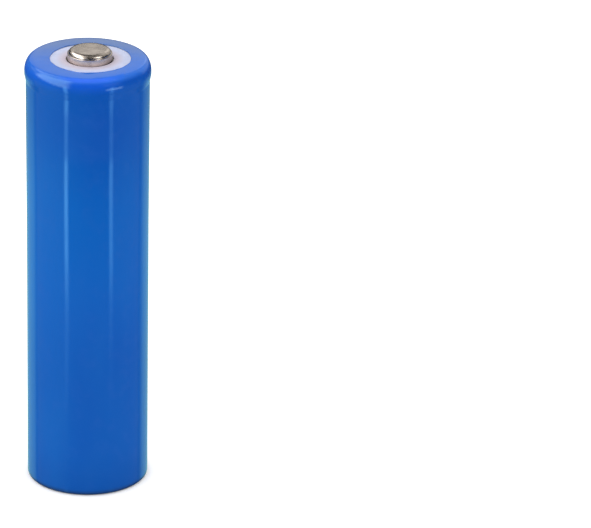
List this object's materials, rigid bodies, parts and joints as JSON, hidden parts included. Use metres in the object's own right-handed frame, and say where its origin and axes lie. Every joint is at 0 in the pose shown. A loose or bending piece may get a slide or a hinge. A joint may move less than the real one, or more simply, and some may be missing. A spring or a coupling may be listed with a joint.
{
  "type": "cylindrical battery cell",
  "caption": "Rechargeable cylindrical battery cell with a stepped metal button, white insulating washer, heat-shrink sleeve and a flat contact disc at the other end.",
  "frame": {"origin": "centre of the plane the cell stands on, the outside of the sleeve's bottom fold", "axes": "+Z along the cell's axis from the flat contact disc to the button; -Y is the front; the sense strip runs up the side at 117 degrees from +X"},
  "size_m": [0.019, 0.019, 0.0694],
  "materials": {
    "blue_film": "glossy heat-shrink PVC film, smooth, with soft wide highlights",
    "white_board": "matt white insulating board",
    "nickel_plate": "satin nickel plating over steel, warm grey",
    "can_steel": "bright nickel-plated deep-drawn steel",
    "aluminium": "bare rolled aluminium",
    "gasket_plastic": "dark moulded polymer seal",
    "ptc_polymer": "carbon-filled polymer between thin metal faces",
    "cathode_coating": "matt near-black coating on aluminium foil",
    "anode_coating": "matt graphite coating on copper foil",
    "separator_film": "milky microporous film",
    "polyimide_tape": "amber polyimide tape",
    "winding_tape": "green polyester tape",
    "circuit_board": "green solder mask on glass-epoxy board",
    "chip_plastic": "black moulded epoxy",
    "chip_ceramic": "tan ceramic",
    "clear_plastic": "milky moulded polypropylene",
    "insulating_paper": "grey-green insulating paper"
  },
  "bodies": {
    "root": {"shrink_sleeve": "blue_film", "top_washer": "white_board", "positive_button": "nickel_plate", "sense_strip": "nickel_plate", "strip_insulation_tape": "polyimide_tape", "can": "can_steel", "crimp_gasket": "gasket_plastic", "top_cap": "can_steel", "ptc_ring": "ptc_polymer", "vent_disc": "aluminium", "cid_insulator": "clear_plastic", "cid_plate": "aluminium", "cathode_sheet": "cathode_coating", "anode_sheet": "anode_coating", "separator_inner": "separator_film", "separator_outer": "separator_film", "roll_end_tape": "winding_tape", "center_pin": "can_steel", "positive_tab": "aluminium", "upper_insulator": "clear_plastic", "negative_tab": "nickel_plate", "lower_insulator": "clear_plastic", "board_insulator_disc": "insulating_paper", "board_carrier_ring": "clear_plastic", "protection_board": "circuit_board", "negative_contact_plate": "nickel_plate", "board_link_tab": "nickel_plate", "mosfet_1": "chip_plastic", "mosfet_2": "chip_plastic", "protection_ic": "chip_plastic", "chip_resistor_1": "chip_plastic", "chip_resistor_2": "chip_plastic", "chip_capacitor": "chip_ceramic"}
  },
  "joints": []
}
